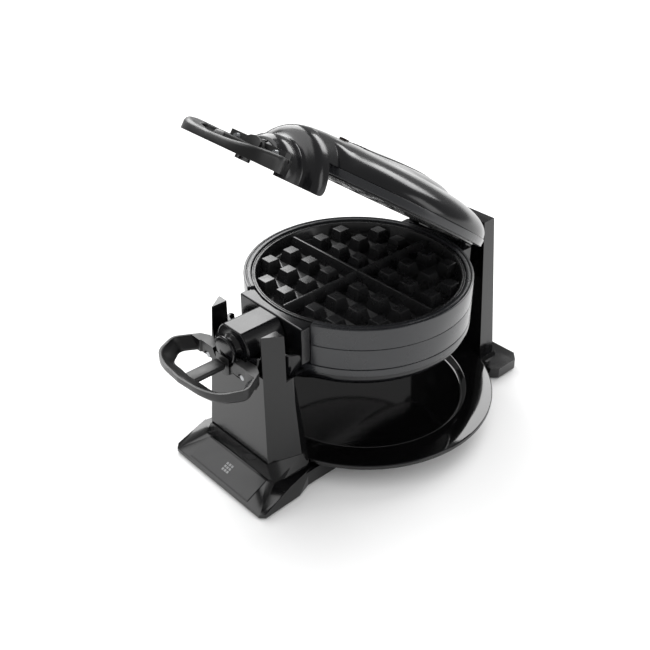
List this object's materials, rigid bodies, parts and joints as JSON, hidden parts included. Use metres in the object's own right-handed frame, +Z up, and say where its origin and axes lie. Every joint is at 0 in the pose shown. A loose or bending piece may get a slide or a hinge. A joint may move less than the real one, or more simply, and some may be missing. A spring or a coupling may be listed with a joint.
{
  "type": "waffle maker",
  "caption": "Round flip waffle maker: a drum with pegged non-stick plates and hinged domed lids turns between a cradle post and a rear post above a drip tray on a long foot.",
  "frame": {"origin": "on the table under the pads, midway along the length and across the width of the bounding box", "axes": "+Z up; +Y runs from the handles past the drum to the rear post; +X is to the right of someone at the handles"},
  "size_m": [0.243, 0.3574, 0.3141],
  "materials": {
    "band_grey": "satin dark grey enamel",
    "non_stick": "dark non-stick coating on cast aluminium",
    "bare_steel": "plain",
    "bare_aluminium": "mill finish sheet",
    "ceramic_white": "glazed ceramic body",
    "satin_black": "satin moulded black",
    "gloss_black": "polished moulded black",
    "tray_black": "mirror-smooth black",
    "nylon_grey": "plain moulded",
    "rubber_black": "matte",
    "smoked_lens": "dark smoked lens"
  },
  "bodies": {
    "base": {"base_pan": "gloss_black", "base_floor": "satin_black", "foot_pad_front_left": "rubber_black", "foot_pad_front_right": "rubber_black", "foot_pad_rear_left": "rubber_black", "foot_pad_rear_right": "rubber_black", "name_panel": "satin_black", "front_post": "gloss_black", "cradle_liner": "nylon_grey", "front_post_screw_left": "bare_steel", "front_post_screw_right": "bare_steel", "rear_post": "gloss_black", "rear_post_cover": "satin_black", "cord_gland": "rubber_black", "rear_bearing": "nylon_grey", "terminal_block": "ceramic_white", "rear_post_screw_left": "bare_steel", "rear_post_screw_right": "bare_steel", "rear_cover_screw_lower": "bare_steel", "rear_cover_screw_upper": "bare_steel"},
    "tray": {"drip_tray": "tray_black"},
    "drum": {"upper_drum_band": "band_grey", "lower_drum_band": "band_grey", "upper_centre_plate": "non_stick", "lower_centre_plate": "non_stick", "centre_heater": "bare_steel", "centre_thermostat": "ceramic_white", "thermal_fuse": "bare_aluminium", "front_housing": "satin_black", "rear_housing": "satin_black", "upper_hinge_pin": "bare_steel", "lower_hinge_pin": "bare_steel", "hub": "satin_black", "rear_trunnion": "bare_steel", "trunnion_clip": "bare_steel", "lower_lid_rim": "band_grey", "lower_lid_plate": "non_stick", "lower_heater": "bare_steel", "lower_heat_reflector": "bare_aluminium", "lower_lid_cover": "satin_black", "lower_lid_lamp": "smoked_lens", "lower_handle": "satin_black", "lower_handle_screw_left": "bare_steel", "lower_handle_screw_right": "bare_steel"},
    "upper_lid": {"upper_lid_rim": "band_grey", "upper_lid_plate": "non_stick", "upper_heater": "bare_steel", "upper_heat_reflector": "bare_aluminium", "upper_lid_cover": "satin_black", "upper_lid_lamp": "smoked_lens", "upper_handle": "satin_black", "upper_handle_screw_left": "bare_steel", "upper_handle_screw_right": "bare_steel"}
  },
  "joints": [
    {"name": "drum_flip", "type": "hinge", "parent": "base", "child": "drum", "pos_m": [0, 0.01385, 0.13], "axis": [0, 1, 0], "range_deg": [-90, 90]},
    {"name": "upper_lid_hinge", "type": "hinge", "parent": "drum", "child": "upper_lid", "pos_m": [0, 0.12025, 0.1568], "axis": [-1, 0, 0], "range_deg": [-35, 30]},
    {"name": "tray_slide", "type": "slide", "parent": "base", "child": "tray", "axis": [1, 0, 0], "range_m": [0, 0.17]}
  ]
}
